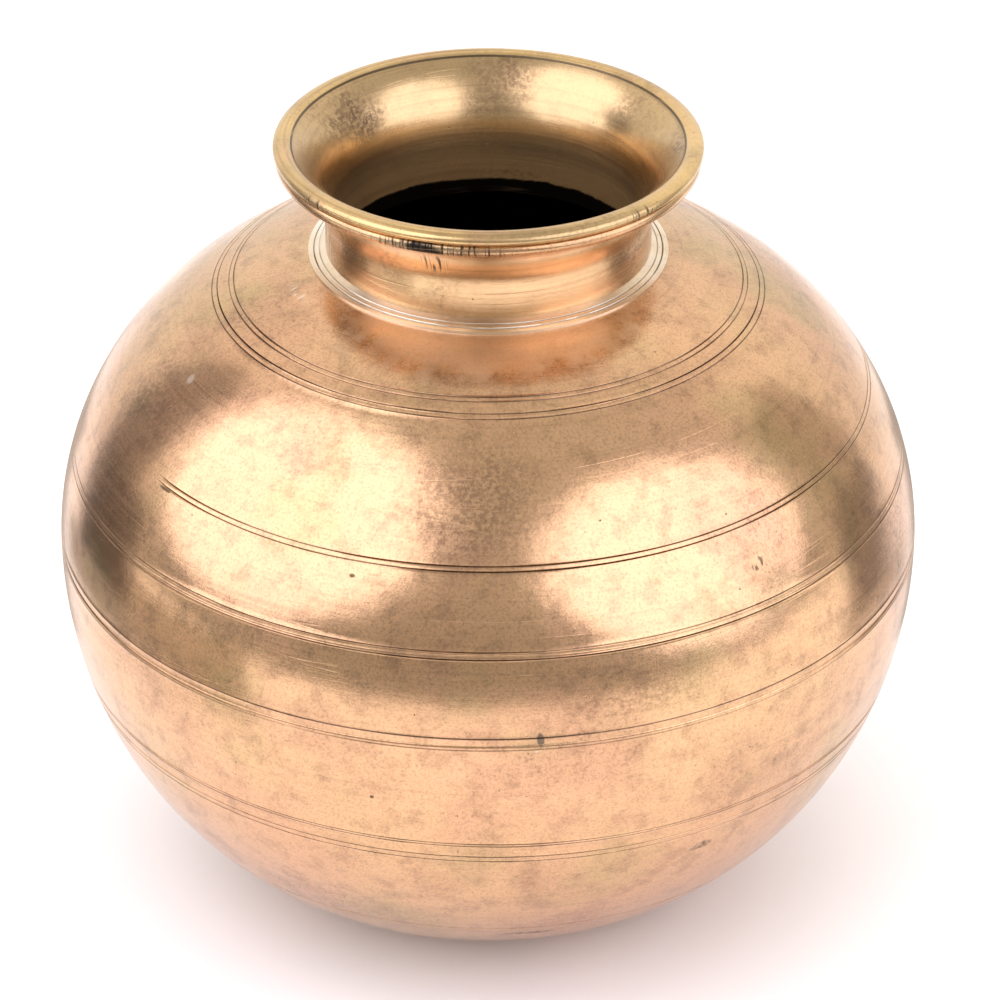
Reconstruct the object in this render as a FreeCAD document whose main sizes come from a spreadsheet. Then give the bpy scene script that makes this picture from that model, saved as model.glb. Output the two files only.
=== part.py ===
import FreeCAD
import Part
import math
import os
import re
import Sketcher

# A lota: a turned, round-bellied water pot of cast brass, put together from a lower and an
# upper shell, a flared neck and a lip, with the brazing metal and the solder that hold them.
# Millimetres, +Z up, the flat of the base on Z = 0 and the turning axis on Z.

SIZES = [
    # the two halves of the body: each outer curve is part of an ellipse that stands upright
    # at the greatest radius and would come level at its crown radius
    ("body_radius", 100.2, "greatest radius of the pot"),
    ("waist_height", 88.1, "height of the greatest radius above the base"),
    ("foot_radius", 36.0, "flat that the bowl rests on"),
    ("belly_crown", 18.8, "radius where the bowl's curve would come level"),
    ("shoulder_rise", 72.4, "from the greatest radius up to the foot of the neck"),
    ("shoulder_crown", 22.4, "radius where the shoulder's curve would come level"),
    ("wall", 2.2, "thickness of both shells"),
    ("dish_radius", 27.0, "shallow dish turned in the middle of the base"),
    ("dish_depth", 1.2, "depth of that dish"),
    # brazed lap joint of the two shells
    ("seam_rise", 2.1, "seam line above the greatest radius"),
    ("lap_height", 7.0, "overlap of the two shells"),
    ("braze_gap", 0.3, "thickness of the brazing metal"),
    # neck, measured from its foot on the shoulder
    ("collar_width", 3.9, "solder collar on the shoulder, out from the neck"),
    ("collar_rise", 2.0, "height of the solder collar on the neck"),
    ("collar_edge", 0.6, "height of the solder collar at its outside"),
    ("neck_radius", 37.3, "outside of the neck"),
    ("neck_wall", 2.3, "thickness of the neck"),
    ("solder_gap", 0.3, "solder between the neck and the hole in the shoulder"),
    ("spigot_depth", 3.0, "neck below the top of the shoulder, inside the pot"),
    ("cove_rise", 10.0, "where the outside starts to flare"),
    ("throat_rise", 8.5, "where the bore starts to flare"),
    ("band_rise", 22.8, "lower edge of the band under the lip"),
    ("band_out", 3.6, "that band, out from the bore at the mouth"),
    ("band_height", 2.2, "height of that band"),
    # lip
    ("mouth_radius", 44.5, "bore at the mouth"),
    ("groove_out", 2.9, "bottom of the groove between band and lip, out from the bore"),
    ("groove_drop", 0.4, "that groove above the top of the band"),
    ("lip_seam_step", 2.0, "inner edge of the lip above the groove"),
    ("lip_top_step", 0.45, "outer shoulder of the lip above its inner edge"),
    ("lip_top_out", 3.5, "that shoulder, out from the bore"),
    ("lip_bead", 1.12, "how far the lip bulges outwards"),
    ("lip_crown", 0.69, "how far the lip bulges upwards"),
    # scored lines
    ("score", 0.26, "depth of a scored line, and half its width"),
]
SHOULDER_LINES = [17.2, 18.25, 21.0, 22.2]  # radii outside the foot of the neck
UPPER_LINES = [40.5, 39.5, 23.7, 23.0, 22.1, 3.9]  # heights above the waist
RIM_LINES = [1.1]  # above the waist, below the seam
LOWER_LINES = [27.8, 28.5, 31.9, 33.4, 62.7]  # depths below the waist
COLLAR_LINES = [1.3, 2.5]  # in from the outside of the solder collar

doc = FreeCAD.newDocument("lota_water_pot")
sheet = doc.addObject("Spreadsheet::Sheet", "Sizes")
row = 1


def enter(alias, number, note):
    """Put one dimension in the sheet: its name, its number and what it is."""
    global row
    sheet.set("A%d" % row, alias)
    sheet.set("B%d" % row, repr(float(number)))
    sheet.setAlias("B%d" % row, alias)
    sheet.set("C%d" % row, note)
    row += 1


LINE_SETS = [
    ("shoulder_line", SHOULDER_LINES, "scored line, outside the foot of the neck"),
    ("upper_line", UPPER_LINES, "scored line, above the greatest radius"),
    ("rim_line", RIM_LINES, "scored line, above the greatest radius"),
    ("lower_line", LOWER_LINES, "scored line, below the greatest radius"),
    ("collar_line", COLLAR_LINES, "scored line, in from the edge of the collar"),
]
LINE_WORDS = ["one", "two", "three", "four", "five", "six"]
for alias, number, note in SIZES:
    enter(alias, number, note)
for stem, numbers, note in LINE_SETS:
    for word, number in zip(LINE_WORDS, numbers):
        enter(stem + "_" + word, number, note)
doc.recompute()

NAMES = [sheet.get("A%d" % n) for n in range(1, row)]


def bound(text):
    """The expression with each size pointing at the sheet."""
    return re.sub(r"[a-z_]{4,}", lambda m: ("Sizes." if m.group() in NAMES else "") + m.group(), text)


def value(text):
    """What the expression comes to."""
    found = sheet.evalExpression(text)
    return float(getattr(found, "Value", found))


class Oval:
    """An ellipse with upright and level axes, each size an expression."""

    def __init__(self, centre_r, centre_z, across, up):
        self.centre_r = centre_r
        self.centre_z = centre_z
        self.across = across
        self.up = up

    def radius_at(self, height):
        """Outer radius at a height."""
        part = "(((%s) - (%s)) / (%s))" % (height, self.centre_z, self.up)
        return "(%s) + (%s) * sqrt(1 - pow(%s; 2))" % (self.centre_r, self.across, part)

    def height_at(self, radius, sign):
        """Height above (+) or below (-) the centre at a radius."""
        part = "(((%s) - (%s)) / (%s))" % (radius, self.centre_r, self.across)
        return "(%s) %s (%s) * sqrt(1 - pow(%s; 2))" % (self.centre_z, sign, self.up, part)

    def inside(self):
        """The same curve one wall thickness further in."""
        return Oval(self.centre_r, self.centre_z, self.across + " - wall", self.up + " - wall")


NECK_FOOT = "(neck_radius + collar_width)"
SHOULDER_ACROSS = "body_radius - shoulder_crown"
SHOULDER_UP = "shoulder_rise / sqrt(1 - pow((%s - shoulder_crown) / (%s); 2))" % (
    NECK_FOOT, SHOULDER_ACROSS)
BELLY_ACROSS = "body_radius - belly_crown"
BELLY_UP = "waist_height / sqrt(1 - pow((foot_radius - belly_crown) / (%s); 2))" % BELLY_ACROSS
SHOULDER = Oval("shoulder_crown", "waist_height", SHOULDER_ACROSS, SHOULDER_UP)
BELLY = Oval("belly_crown", "waist_height", BELLY_ACROSS, BELLY_UP)

SHOULDER_TOP = "waist_height + shoulder_rise"
SEAM = "waist_height + seam_rise"
SEAM_TOP = SEAM + " + braze_gap"
LAP_FOOT = SEAM + " - lap_height"
LAP_BASE = LAP_FOOT + " - braze_gap"
LAP_IN = "body_radius - wall / 2 - braze_gap / 2"
LAP_OUT = "body_radius - wall / 2 + braze_gap / 2"
BORE = "body_radius - wall"
HOLE = "neck_radius + solder_gap"


def corner(radius, height, pins="rz"):
    """A corner of an outline; pins says which of radius and height are dimensioned."""
    return (radius, height, pins)


def dimension(sketch, kind, geometry, point, text):
    """Add one dimension and bind it to the sheet."""
    number = value(text)
    index = sketch.addConstraint(Sketcher.Constraint(kind, geometry, point, number))
    sketch.setExpression("Constraints[%d]" % index, bound(text))


def round_edge(start, end, radius, side, bulge):
    """Arc of a circle from start to end that bulges to the right (+1) or the left (-1).

    Its centre is as far behind the chord as the radius is more than the bulge.
    """
    middle = (start + end) * 0.5
    along = end - start
    outward = FreeCAD.Vector(along.y, -along.x, 0).normalize() * side
    centre = middle - outward * (radius - bulge)
    circle = Part.Circle(centre, FreeCAD.Vector(0, 0, 1), radius)
    angles = [math.atan2(p.y - centre.y, p.x - centre.x) for p in (start, end)]
    forward = side > 0
    first, last = angles if forward else angles[::-1]
    return Part.ArcOfCircle(circle, first, last), forward


def oval_edge(start, end, oval):
    """Arc of an ellipse between two of its points, the short way round."""
    centre = FreeCAD.Vector(value(oval.centre_r), value(oval.centre_z), 0)
    across = value(oval.across)
    up = value(oval.up)
    level = FreeCAD.Vector(across, 0, 0)
    upright = FreeCAD.Vector(0, up, 0)
    wide = across >= up
    long_half = level if wide else upright
    short_half = upright if wide else level * -1
    ellipse = Part.Ellipse(centre + long_half, centre + short_half, centre)
    first = ellipse.parameter(start)
    last = ellipse.parameter(end)
    forward = (last - first) % (2 * math.pi) < math.pi
    if not forward:
        first, last = last, first
    return Part.ArcOfEllipse(ellipse, first, last), forward, wide


def outline(body, name, corners, edges):
    """A closed, fully dimensioned sketch on the body's upright plane.

    Edge n runs from corner n to the next: None is straight, an Oval is a stretch of that
    ellipse, and the rest are a radius, the side it bulges to and how far.
    """
    sketch = body.newObject("Sketcher::SketchObject", name)
    plane = [f for f in body.Origin.OriginFeatures if f.Role == "XZ_Plane"][0]
    sketch.AttachmentSupport = [(plane, "")]
    sketch.MapMode = "FlatFace"
    points = [FreeCAD.Vector(value(c[0]), value(c[1]), 0) for c in corners]
    count = len(corners)
    ends = []
    for n, edge in enumerate(edges):
        start = points[n]
        end = points[(n + 1) % count]
        if edge is None:
            index = sketch.addGeometry(Part.LineSegment(start, end), False)
            ends.append((index, 1, 2))
        elif isinstance(edge, Oval):
            arc, forward, wide = oval_edge(start, end, edge)
            index = sketch.addGeometry(arc, False)
            ends.append((index, 1, 2) if forward else (index, 2, 1))
            before = sketch.GeometryCount
            sketch.exposeInternalGeometry(index)
            long_axis = before
            short_axis = before + 1
            sketch.addConstraint(Sketcher.Constraint("Horizontal" if wide else "Vertical", long_axis))
            dimension(sketch, "DistanceX", index, 3, edge.centre_r)
            dimension(sketch, "DistanceY", index, 3, edge.centre_z)
            for axis, half in ((long_axis, wide), (short_axis, not wide)):
                text = "2 * (%s)" % (edge.across if half else edge.up)
                number = sketch.addConstraint(Sketcher.Constraint("Distance", axis, value(text)))
                sketch.setExpression("Constraints[%d]" % number, bound(text))
        else:
            text, side, bulge = edge
            arc, forward = round_edge(start, end, value(text), side, value(bulge))
            index = sketch.addGeometry(arc, False)
            ends.append((index, 1, 2) if forward else (index, 2, 1))
            number = sketch.addConstraint(Sketcher.Constraint("Radius", index, value(text)))
            sketch.setExpression("Constraints[%d]" % number, bound(text))
    for n in range(count):
        here = ends[n]
        last = ends[n - 1]
        sketch.addConstraint(Sketcher.Constraint("Coincident", last[0], last[2], here[0], here[1]))
        radius, height, pins = corners[n]
        if "r" in pins:
            dimension(sketch, "DistanceX", here[0], here[1], radius)
        if "z" in pins:
            dimension(sketch, "DistanceY", here[0], here[1], height)
    return sketch


def turned(label, corners, edges):
    """A body turned from its outline about the upright axis."""
    body = doc.addObject("PartDesign::Body", label)
    body.Label = label
    sketch = outline(body, label + "_outline", corners, edges)
    blank = body.newObject("PartDesign::Revolution", label + "_turned")
    blank.Profile = (sketch, [""])
    blank.ReferenceAxis = (sketch, ["V_Axis"])
    blank.Angle = 360.0
    blank.Midplane = False
    blank.Reversed = False
    body.Tip = blank
    sketch.Visibility = False
    doc.recompute()
    return body


def score_lines(body, centres):
    """Scored lines round the body: each centre is a radius and a height on its surface."""
    before = body.Shape.Volume
    sketch = body.newObject("Sketcher::SketchObject", body.Label + "_scoring")
    plane = [f for f in body.Origin.OriginFeatures if f.Role == "XZ_Plane"][0]
    sketch.AttachmentSupport = [(plane, "")]
    sketch.MapMode = "FlatFace"
    upward = FreeCAD.Vector(0, 0, 1)
    for radius, height in centres:
        centre = FreeCAD.Vector(value(radius), value(height), 0)
        index = sketch.addGeometry(Part.Circle(centre, upward, value("score")), False)
        dimension(sketch, "DistanceX", index, 3, radius)
        dimension(sketch, "DistanceY", index, 3, height)
        number = sketch.addConstraint(Sketcher.Constraint("Radius", index, value("score")))
        sketch.setExpression("Constraints[%d]" % number, bound("score"))
    cut = body.newObject("PartDesign::Groove", body.Label + "_scored")
    cut.Profile = (sketch, [""])
    cut.ReferenceAxis = (sketch, ["V_Axis"])
    cut.Angle = 360.0
    cut.Midplane = False
    cut.Reversed = False
    body.Tip = cut
    sketch.Visibility = False
    doc.recompute()
    if not body.Shape.Volume < before:
        raise RuntimeError("the scored lines of %s cut nothing" % body.Label)


def lines(stem, numbers):
    """The names in the sheet of one set of scored lines."""
    return [stem + "_" + word for word, number in zip(LINE_WORDS, numbers)]


# lower shell: a bowl with a flat foot, dished in the middle; its edge stands outside the lap
FLOOR = "dish_depth + wall"
lower_shell = turned(
    "lower_shell",
    [
        corner("body_radius", SEAM),
        corner("body_radius", "waist_height", "z"),
        corner("foot_radius", "0 * wall", "z"),
        corner("dish_radius", "0 * wall"),
        corner("dish_radius - dish_depth", "dish_depth"),
        corner("0 * wall", "dish_depth"),
        corner("0 * wall", FLOOR),
        corner(BELLY.inside().radius_at("2 * waist_height - (%s)" % FLOOR), FLOOR, "z"),
        corner(BELLY.inside().radius_at(LAP_BASE), LAP_BASE, "z"),
        corner(LAP_OUT, LAP_BASE),
        corner(LAP_OUT, SEAM),
    ],
    [None, BELLY, None, None, None, None, None, BELLY.inside(), None, None, None],
)
score_lines(
    lower_shell,
    [("body_radius * 1", "waist_height + " + name) for name in lines("rim_line", RIM_LINES)]
    + [
        (BELLY.radius_at("waist_height - " + name), "waist_height - " + name)
        for name in lines("lower_line", LOWER_LINES)
    ],
)

# upper shell: the shoulder, with the hole for the neck; its edge stands inside the lap
upper_shell = turned(
    "upper_shell",
    [
        corner(SHOULDER.radius_at(SEAM_TOP), SEAM_TOP, "z"),
        corner(HOLE, SHOULDER.height_at(HOLE, "+"), "r"),
        corner(HOLE, SHOULDER.inside().height_at(HOLE, "+"), "r"),
        corner(BORE, "waist_height", "z"),
        corner(BORE, LAP_FOOT),
        corner(LAP_IN, LAP_FOOT),
        corner(LAP_IN, SEAM_TOP),
    ],
    [SHOULDER, None, SHOULDER.inside(), None, None, None, None],
)
score_lines(
    upper_shell,
    [
        (NECK_FOOT + " + " + name, SHOULDER.height_at(NECK_FOOT + " + " + name, "+"))
        for name in lines("shoulder_line", SHOULDER_LINES)
    ]
    + [
        (SHOULDER.radius_at("waist_height + " + name), "waist_height + " + name)
        for name in lines("upper_line", UPPER_LINES)
    ],
)

# brazing metal that fills the lap from outside to inside
waist_braze = turned(
    "waist_braze",
    [
        corner("body_radius", SEAM),
        corner(SHOULDER.radius_at(SEAM_TOP), SEAM_TOP),
        corner(LAP_IN, SEAM_TOP),
        corner(LAP_IN, LAP_FOOT),
        corner(BORE, LAP_FOOT),
        corner(BORE, LAP_BASE),
        corner(LAP_OUT, LAP_BASE),
        corner(LAP_OUT, SEAM),
    ],
    [None] * 8,
)

# solder that fills the hole round the neck and stands as a collar on the shoulder
neck_solder = turned(
    "neck_solder",
    [
        corner("neck_radius", SHOULDER_TOP + " + collar_rise"),
        corner(NECK_FOOT, SHOULDER_TOP + " + collar_edge"),
        corner(NECK_FOOT, SHOULDER_TOP, "r"),
        corner(HOLE, SHOULDER.height_at(HOLE, "+"), "r"),
        corner(HOLE, SHOULDER.inside().height_at(HOLE, "+")),
        corner("neck_radius", SHOULDER.inside().height_at(HOLE, "+")),
    ],
    [None, None, SHOULDER, None, None, None],
)
COLLAR_SLOPE = "(collar_rise - collar_edge) / collar_width"
score_lines(
    neck_solder,
    [
        (NECK_FOOT + " - " + name, SHOULDER_TOP + " + collar_edge + %s * %s" % (name, COLLAR_SLOPE))
        for name in lines("collar_line", COLLAR_LINES)
    ],
)

# neck: a straight tube that passes through the shoulder and flares to a band under the lip
THROAT = "neck_radius - neck_wall"
BAND_EDGE = SHOULDER_TOP + " + band_rise"
BAND_TOP = BAND_EDGE + " + band_height"
GROOVE = BAND_TOP + " + groove_drop"
LIP_SEAM = GROOVE + " + lip_seam_step"
LIP_TOP = LIP_SEAM + " + lip_top_step"
BAND = "mouth_radius + band_out"
SEAT = "mouth_radius + groove_out"


def arc_over(out, up, bulge, side):
    """Arc that bulges so far over a chord that goes so far out and so far up."""
    return ("(pow(%s; 2) + pow(%s; 2)) / (8 * %s) + %s / 2" % (out, up, bulge, bulge), side, bulge)


def arc_from_upright(out, up, side):
    """Arc that starts upright and ends that far out and up."""
    radius = "(pow(%s; 2) + pow(%s; 2)) / (2 * %s)" % (out, up, out)
    # half the turn of the arc is the slope of its chord
    chord = "sqrt(pow(%s; 2) + pow(%s; 2))" % (out, up)
    return (radius, side, "(%s) * (1 - %s / (%s))" % (radius, up, chord))


COVE = arc_from_upright("(%s - neck_radius)" % BAND, "(band_rise - cove_rise)", -1)
FLARE_RISE = "(band_rise + band_height + groove_drop + lip_seam_step - throat_rise)"
FLARE = arc_from_upright("(mouth_radius - (%s))" % THROAT, FLARE_RISE, 1)
flared_neck = turned(
    "flared_neck",
    [
        corner(THROAT, SHOULDER_TOP + " - spigot_depth"),
        corner("neck_radius", SHOULDER_TOP + " - spigot_depth"),
        corner("neck_radius", SHOULDER_TOP + " + cove_rise"),
        corner(BAND, BAND_EDGE),
        corner(BAND, BAND_TOP),
        corner(SEAT, GROOVE),
        corner("mouth_radius", LIP_SEAM),
        corner(THROAT, SHOULDER_TOP + " + throat_rise"),
    ],
    [None, None, COVE, None, None, None, FLARE, None],
)

# lip: a rounded ring on the mouth
BEAD = arc_over("(lip_top_out - groove_out)", "(lip_seam_step + lip_top_step)", "lip_bead", 1)
CROWN = arc_over("lip_top_out", "lip_top_step", "lip_crown", 1)
lip_ring = turned(
    "lip_ring",
    [
        corner("mouth_radius", LIP_SEAM),
        corner(SEAT, GROOVE),
        corner("mouth_radius + lip_top_out", LIP_TOP),
    ],
    [None, BEAD, CROWN],
)

doc.recompute()
pieces = [lower_shell, waist_braze, upper_shell, neck_solder, flared_neck, lip_ring]
for thing in doc.Objects:
    if "Invalid" in thing.State or "Error" in thing.State:
        raise RuntimeError("%s did not recompute: %s" % (thing.Label, thing.State))
    if thing.TypeId == "Sketcher::SketchObject" and not thing.FullyConstrained:
        raise RuntimeError("%s is not fully dimensioned" % thing.Label)
for piece in pieces:
    piece.Placement = FreeCAD.Placement()
    if piece.Shape.isNull() or not piece.Shape.isValid() or len(piece.Shape.Solids) != 1:
        raise RuntimeError("%s is not one good solid" % piece.Label)

os.makedirs("parts", exist_ok=True)
for piece in pieces:
    piece.Shape.exportStep("parts/%s.step" % piece.Label)
    box = piece.Shape.BoundBox
    print("%-12s %8.1f mm3  z %.2f to %.2f  radius %.2f" % (
        piece.Label, piece.Shape.Volume, box.ZMin, box.ZMax, box.XMax))
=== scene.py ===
import math

import bpy
from mathutils import Matrix, Vector


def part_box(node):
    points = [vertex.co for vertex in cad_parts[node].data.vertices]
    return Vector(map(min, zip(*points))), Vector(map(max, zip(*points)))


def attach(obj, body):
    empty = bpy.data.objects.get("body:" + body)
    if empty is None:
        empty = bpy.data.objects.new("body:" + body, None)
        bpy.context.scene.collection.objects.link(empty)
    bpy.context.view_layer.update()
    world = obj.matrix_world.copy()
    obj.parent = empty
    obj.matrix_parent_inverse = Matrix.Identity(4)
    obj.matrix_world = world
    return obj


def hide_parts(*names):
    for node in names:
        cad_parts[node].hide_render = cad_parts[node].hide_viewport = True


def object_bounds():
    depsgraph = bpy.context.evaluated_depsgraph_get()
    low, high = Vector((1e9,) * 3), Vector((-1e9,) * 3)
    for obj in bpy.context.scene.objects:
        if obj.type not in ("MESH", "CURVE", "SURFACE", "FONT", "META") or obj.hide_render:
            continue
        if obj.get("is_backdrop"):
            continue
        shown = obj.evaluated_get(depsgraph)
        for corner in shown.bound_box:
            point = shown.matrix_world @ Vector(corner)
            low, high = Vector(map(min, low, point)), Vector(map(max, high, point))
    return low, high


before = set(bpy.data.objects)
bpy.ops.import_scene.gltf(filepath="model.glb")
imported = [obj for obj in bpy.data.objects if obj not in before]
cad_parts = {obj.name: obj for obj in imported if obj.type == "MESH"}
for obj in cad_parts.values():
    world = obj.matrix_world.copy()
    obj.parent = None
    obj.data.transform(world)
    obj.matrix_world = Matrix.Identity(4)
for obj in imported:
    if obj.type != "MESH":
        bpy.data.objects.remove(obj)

bl_info = {
    "name": "Turned Brass Lota",
    "version": (1, 0, 0),
    "blender": (4, 5, 0),
    "location": "3D View > Sidebar > Lota",
    "description": "A brazed and turned brass water pot, its metal finishes and a plain studio",
    "category": "Object",
}

# plain stretches of an outline keep this many half widths away from a scored line
CLEAR_OF_LINE = 1.9
# points nearer than this are one point, in metres
WELD = 2e-6
# edges bent more than this stay crisp
CRISP = math.radians(50)
# the pair of lines on the shoulder that stops short: heights above the waist in millimetres,
# and how far round from the stop it starts to fade in and is fully cut, in radians
STOPPED_LINES = (38.0, 42.0)
FADE = (0.36, 0.44)
# height that the lights are aimed at, in millimetres, and how far they bulge past their corners
AIM = 95.0
BULGE = 1.10


def mm(number):
    """Millimetres to metres."""
    return number / 1000.0


def linear(code):
    """sRGB hex to the linear colour that the shaders take."""
    parts = [int(code[i:i + 2], 16) / 255.0 for i in (0, 2, 4)]
    return tuple(p / 12.92 if p <= 0.04045 else ((p + 0.055) / 1.055) ** 2.4 for p in parts) + (1.0,)


def length(name, description, default):
    """A size that a user may change, given in millimetres."""
    return bpy.props.FloatProperty(
        name=name, description=description, default=mm(default), min=0.0, unit="LENGTH", precision=5)


def colour(name, description, code):
    """A colour that a user may change."""
    return bpy.props.FloatVectorProperty(
        name=name, description=description, default=linear(code), size=4, min=0.0, max=1.0,
        subtype="COLOR")


class LotaSizes(bpy.types.PropertyGroup):
    """Sizes of the pot's turned pieces."""

    body_radius: length("Body radius", "Greatest radius of the pot", 100.2)
    waist_height: length("Waist height", "Height of the greatest radius above the base", 88.1)
    foot_radius: length("Foot radius", "Flat that the bowl rests on", 36.0)
    belly_crown: length("Belly crown", "Radius where the bowl's curve would come level", 18.8)
    shoulder_rise: length("Shoulder rise", "Greatest radius up to the foot of the neck", 72.4)
    shoulder_crown: length("Shoulder crown", "Radius where the shoulder would come level", 22.4)
    wall: length("Wall", "Thickness of both shells", 2.2)
    dish_radius: length("Dish radius", "Shallow dish turned in the middle of the base", 27.0)
    dish_depth: length("Dish depth", "Depth of that dish", 1.2)
    seam_rise: length("Seam rise", "Seam line above the greatest radius", 2.1)
    lap_height: length("Lap height", "Overlap of the two shells", 7.0)
    braze_gap: length("Braze gap", "Thickness of the brazing metal", 0.3)
    neck_foot_radius: length("Neck foot radius", "Outside of the solder collar", 41.2)
    collar_rise: length("Collar rise", "Height of the solder collar on the neck", 2.0)
    collar_edge: length("Collar edge", "Height of the solder collar at its outside", 0.6)
    neck_radius: length("Neck radius", "Outside of the neck", 37.3)
    neck_wall: length("Neck wall", "Thickness of the neck", 2.3)
    solder_gap: length("Solder gap", "Solder between the neck and the shoulder's hole", 0.3)
    spigot_depth: length("Spigot depth", "Neck below the shoulder, inside the pot", 3.0)
    cove_rise: length("Cove rise", "Where the neck's outside starts to flare", 10.0)
    throat_rise: length("Throat rise", "Where the neck's bore starts to flare", 8.5)
    band_rise: length("Band rise", "Lower edge of the band under the lip", 22.8)
    band_radius: length("Band radius", "Outside of that band", 48.1)
    band_height: length("Band height", "Height of that band", 2.2)
    groove_radius: length("Groove radius", "Bottom of the groove under the lip", 47.4)
    groove_drop: length("Groove drop", "Groove above the top of the band", 0.4)
    mouth_radius: length("Mouth radius", "Bore at the mouth", 44.5)
    lip_seam_rise: length("Lip seam rise", "Inner edge of the lip above the neck's foot", 27.4)
    lip_top_rise: length("Lip top rise", "Outer shoulder of the lip above the neck's foot", 27.85)
    lip_top_radius: length("Lip top radius", "Radius of that shoulder", 48.0)
    lip_bead: length("Lip bead", "Rounding of the lip outside", 1.27)
    lip_crown: length("Lip crown", "Rounding of the lip on top", 2.6)
    score_depth: length("Score depth", "Depth of a scored line", 0.22)
    score_width: length("Score width", "Width of a scored line", 0.42)
    unevenness: length("Unevenness", "How far hand turning leaves the body from round", 0.22)
    tolerance: length("Tolerance", "How far a piece's box may differ from its CAD piece's box", 0.5)
    lean_side: bpy.props.FloatProperty(
        name="Lean to the side", description="Tilt of the bowl's scored lines, rise per radius",
        default=-0.0145)
    lean_front: bpy.props.FloatProperty(
        name="Lean to the front", description="Tilt of the bowl's scored lines, rise per radius",
        default=-0.020)
    run_out: bpy.props.FloatProperty(
        name="Run-out", description="Where the upper pair of lines stops, round from the right",
        default=math.radians(192), subtype="ANGLE")
    facets: bpy.props.IntProperty(
        name="Facets", description="Steps round the pot", default=448, min=64, max=1024)


class LotaFinish(bpy.types.PropertyGroup):
    """Colours of the pot's metals."""

    gold: colour("Golden brass", "Polished cast brass", "DEB286")
    copper: colour("Coppery brass", "Polished brass with a pink tinge", "DDAC85")
    olive: colour("Olive brass", "Polished brass with a greenish tinge", "CAAC7A")
    patina: colour("Patina", "Brown tarnish", "6E4F3A")
    dirt: colour("Old dirt", "Black-brown dirt in pits and scored lines", "2B2018")
    solder: colour("Tin solder", "Grey tin solder", "F6EEDF")
    lead: colour("Lead smear", "Dark lead-grey smears and file marks", "4A4844")
    # the insides are mixed towards this brown, in the neck more and more further down its bore
    throat: colour("Throat brown", "Dark tarnish in the throat", "A98556")
    neck_gold: colour("Neck brass", "Brass of the neck, browned", "E2BE8E")
    neck_brown: colour("Neck brown", "Brown of the neck's unpolished skin", "CDA276")
    flare_gold: colour("Flare brass", "Pale polished brass inside the flare", "C8AB7C")
    # painted shade: the inside of the pot below the throat is painted this black, where no light reaches;
    # small real smudges of soot take the same black
    soot: colour("Throat black", "Black dirt below the throat", "17120C")
    lip_gold: colour("Lip brass", "Brass of the lip, bright with handling", "E3BF82")
    # pale colour of a painted sheen, laid with a dull film on the shoulder in front of the neck
    haze_and_painted_sheen: colour("Haze", "Dull pale film near the neck", "F0CFAE")
    solder_warm: colour("Solder film", "Warm film on the solder", "E8CFAC")


class LotaStudio(bpy.types.PropertyGroup):
    """Camera and light."""

    camera_side: length("Camera to the side", "Camera's distance to the right of the axis", 2.8)
    camera_front: length("Camera in front", "Camera's distance in front of the axis", 1031.6)
    camera_height: length("Camera height", "Camera above the floor", 697.2)
    lens: bpy.props.FloatProperty(
        name="Lens", description="Focal length", default=183.28, min=20.0, unit="CAMERA")
    looking_down: bpy.props.FloatProperty(
        name="Looking down", description="Camera's tilt below level",
        default=math.radians(30.31), subtype="ANGLE")
    roll: bpy.props.FloatProperty(
        name="Roll", description="Camera's turn about its view", default=math.radians(0.135),
        subtype="ANGLE")
    floor: colour("Floor", "Plain pale floor", "F4F3F1")
    key: bpy.props.FloatProperty(name="Left softbox", description="Brightness", default=1.85, min=0.0)
    fill: bpy.props.FloatProperty(name="Right softbox", description="Brightness", default=1.85, min=0.0)
    wash: bpy.props.FloatProperty(name="Overhead wash", description="Brightness", default=1.15, min=0.0)


# Scored lines: distances as the turner would mark them, and how deep each is cut
SHOULDER_LINES = [(17.2, 0.9), (18.25, 0.8), (21.0, 1.0), (22.2, 0.9)]
UPPER_LINES = [(40.5, 0.85), (39.5, 0.9), (23.7, 0.9), (23.0, 0.35), (22.1, 0.9), (3.9, 1.0)]
RIM_LINES = [(1.1, 0.45)]
LOWER_LINES = [(27.8, 0.9), (28.5, 1.0), (31.9, 0.9), (33.4, 1.0), (62.7, 0.6)]
COLLAR_LINES = [(1.3, 0.8), (2.5, 0.6)]


# ---------------------------------------------------------------- turned outlines


class Oval:
    """An ellipse with upright and level axes that an outline follows."""

    def __init__(self, centre_r, centre_z, across, up):
        self.centre_r = centre_r
        self.centre_z = centre_z
        self.across = across
        self.up = up

    def point(self, angle):
        """Radius and height at an angle from level."""
        return (self.centre_r + self.across * math.cos(angle), self.centre_z + self.up * math.sin(angle))

    def at_height(self, height):
        """Angle at a height."""
        return math.asin((height - self.centre_z) / self.up)

    def at_radius(self, radius):
        """Angle at a radius, above the centre."""
        return math.acos((radius - self.centre_r) / self.across)

    def speed(self, angle):
        """Length along the curve per radian."""
        return math.hypot(self.across * math.sin(angle), self.up * math.cos(angle))

    def inside(self, wall):
        """The same curve one wall thickness in."""
        return Oval(self.centre_r, self.centre_z, self.across - wall, self.up - wall)


def shoulder_oval(s):
    """Outer curve of the shoulder."""
    across = s.body_radius - s.shoulder_crown
    up = s.shoulder_rise / math.sqrt(1 - ((s.neck_foot_radius - s.shoulder_crown) / across) ** 2)
    return Oval(s.shoulder_crown, s.waist_height, across, up)


def belly_oval(s):
    """Outer curve of the bowl."""
    across = s.body_radius - s.belly_crown
    up = s.waist_height / math.sqrt(1 - ((s.foot_radius - s.belly_crown) / across) ** 2)
    return Oval(s.belly_crown, s.waist_height, across, up)


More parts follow.
